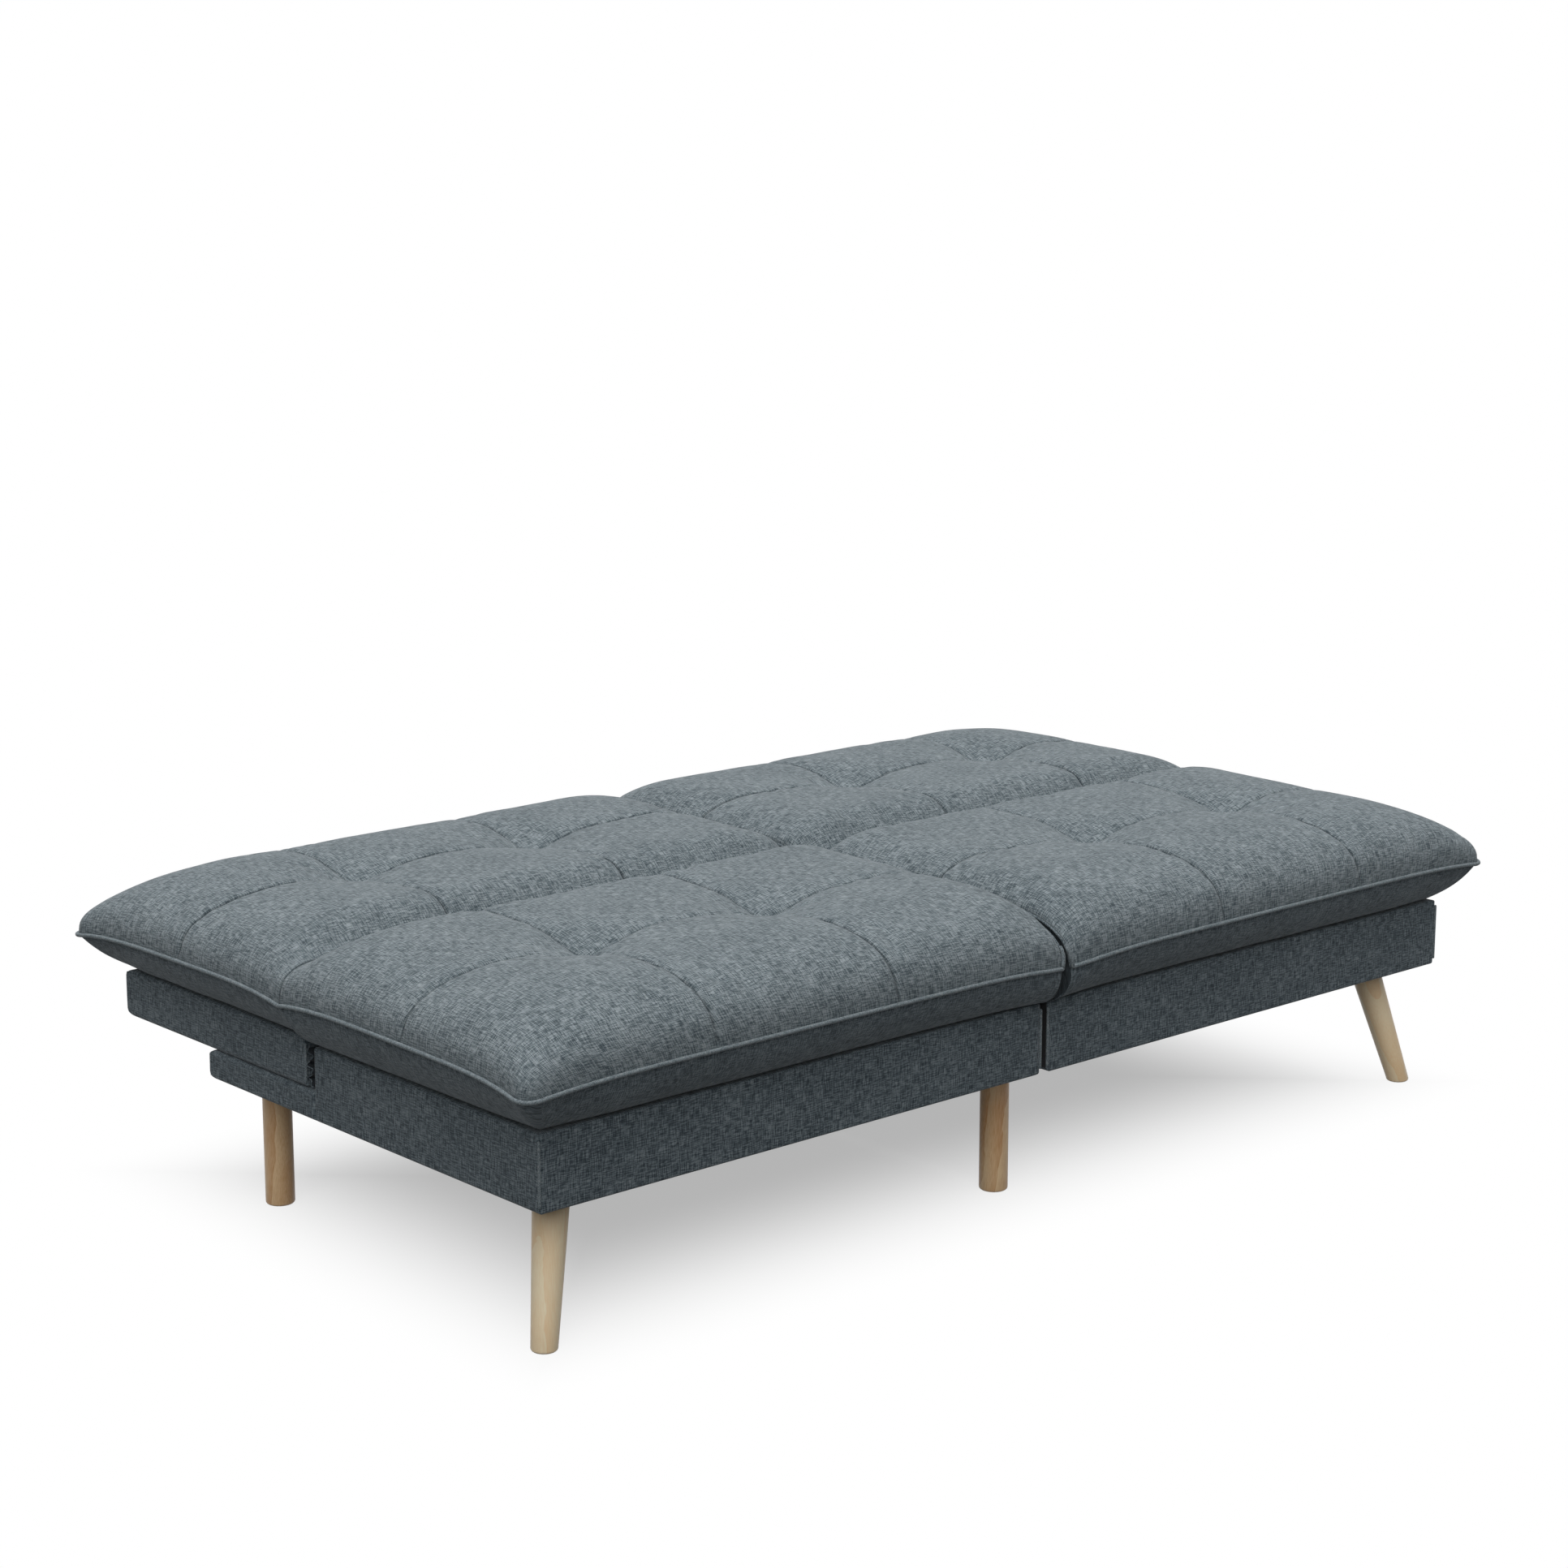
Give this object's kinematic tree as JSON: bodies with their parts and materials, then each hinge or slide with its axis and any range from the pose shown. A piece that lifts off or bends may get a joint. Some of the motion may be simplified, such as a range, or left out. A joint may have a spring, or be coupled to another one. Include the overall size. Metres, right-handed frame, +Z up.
{
  "type": "click clack sofa bed",
  "caption": "Split-back click clack sofa bed folded flat, with tufted piped pads, shallow upholstered boxes on turned wooden legs and independently reclining backs.",
  "frame": {"origin": "on the floor, below the middle of the lying surface", "axes": "+X along the length, to the right seen from the front of the seat; +Y from the front of the seat to the rear; +Z up"},
  "size_m": [1.8, 1.042, 0.4423],
  "materials": {
    "pad_fabric": "woven melange, linen look",
    "box_fabric": "woven melange, linen look",
    "gap_fabric": "plain weave",
    "lining_cloth": "non-woven",
    "pine": "planed",
    "birch": "sanded plywood",
    "beech": "turned and clear lacquered",
    "zinc_steel": "zinc plated"
  },
  "bodies": {
    "base": {"left_seat_frame": "pine", "left_seat_slat_1": "birch", "left_seat_slat_2": "birch", "left_seat_slat_3": "birch", "left_seat_box_cover": "box_fabric", "left_shelf_cover": "box_fabric", "left_dust_cover": "lining_cloth", "left_inner_hinge_seat_plate": "zinc_steel", "left_inner_hinge_pin": "zinc_steel", "left_outer_hinge_seat_plate": "zinc_steel", "left_outer_hinge_pin": "zinc_steel", "left_gap_cloth": "gap_fabric", "left_seat_pad": "pad_fabric", "left_fold_pad": "pad_fabric", "left_corner_leg": "beech", "left_corner_leg_plate": "zinc_steel", "left_rear_leg": "beech", "left_rear_leg_plate": "zinc_steel", "right_seat_frame": "pine", "right_seat_slat_1": "birch", "right_seat_slat_2": "birch", "right_seat_slat_3": "birch", "right_seat_box_cover": "box_fabric", "right_shelf_cover": "box_fabric", "right_dust_cover": "lining_cloth", "right_inner_hinge_seat_plate": "zinc_steel", "right_inner_hinge_pin": "zinc_steel", "right_outer_hinge_seat_plate": "zinc_steel", "right_outer_hinge_pin": "zinc_steel", "right_gap_cloth": "gap_fabric", "right_seat_pad": "pad_fabric", "right_fold_pad": "pad_fabric", "right_corner_leg": "beech", "right_corner_leg_plate": "zinc_steel", "right_rear_leg": "beech", "right_rear_leg_plate": "zinc_steel", "middle_front_leg": "beech", "middle_front_bridge_plate": "zinc_steel", "middle_rear_leg": "beech", "middle_rear_bridge_plate": "zinc_steel", "front_tie_bolt": "zinc_steel", "rear_tie_bolt": "zinc_steel"},
    "left_back": {"left_back_frame": "pine", "left_back_slat_1": "birch", "left_back_slat_2": "birch", "left_back_cover": "box_fabric", "left_back_pad": "pad_fabric", "left_inner_hinge_back_plate": "zinc_steel", "left_outer_hinge_back_plate": "zinc_steel"},
    "right_back": {"right_back_frame": "pine", "right_back_slat_1": "birch", "right_back_slat_2": "birch", "right_back_cover": "box_fabric", "right_back_pad": "pad_fabric", "right_inner_hinge_back_plate": "zinc_steel", "right_outer_hinge_back_plate": "zinc_steel"},
    "left_inner_pawl": {"left_inner_hinge_pawl": "zinc_steel"},
    "left_outer_pawl": {"left_outer_hinge_pawl": "zinc_steel"},
    "right_inner_pawl": {"right_inner_hinge_pawl": "zinc_steel"},
    "right_outer_pawl": {"right_outer_hinge_pawl": "zinc_steel"}
  },
  "joints": [
    {"name": "left_back_recline", "type": "hinge", "parent": "base", "child": "left_back", "pos_m": [-0.429, 0.012, 0.294], "axis": [1, 0, 0], "range_deg": [0, 78], "deforming": ["left_fold_pad", "left_gap_cloth"]},
    {"name": "right_back_recline", "type": "hinge", "parent": "base", "child": "right_back", "pos_m": [0.429, 0.012, 0.294], "axis": [1, 0, 0], "range_deg": [0, 78], "deforming": ["right_fold_pad", "right_gap_cloth"]},
    {"name": "left_inner_pawl_swing", "type": "hinge", "parent": "left_back", "child": "left_inner_pawl", "pos_m": [-0.0294, 0.04075, 0.264], "axis": [1, 0, 0], "range_deg": [0, 6], "stiffness_Nm_per_rad": 0.02, "springref_deg": 6.02},
    {"name": "left_outer_pawl_swing", "type": "hinge", "parent": "left_back", "child": "left_outer_pawl", "pos_m": [-0.8289, 0.04075, 0.264], "axis": [1, 0, 0], "range_deg": [0, 6], "stiffness_Nm_per_rad": 0.02, "springref_deg": 6.02},
    {"name": "right_inner_pawl_swing", "type": "hinge", "parent": "right_back", "child": "right_inner_pawl", "pos_m": [0.0294, 0.04075, 0.264], "axis": [1, 0, 0], "range_deg": [0, 6], "stiffness_Nm_per_rad": 0.02, "springref_deg": 6.02},
    {"name": "right_outer_pawl_swing", "type": "hinge", "parent": "right_back", "child": "right_outer_pawl", "pos_m": [0.8289, 0.04075, 0.264], "axis": [1, 0, 0], "range_deg": [0, 6], "stiffness_Nm_per_rad": 0.02, "springref_deg": 6.02}
  ]
}
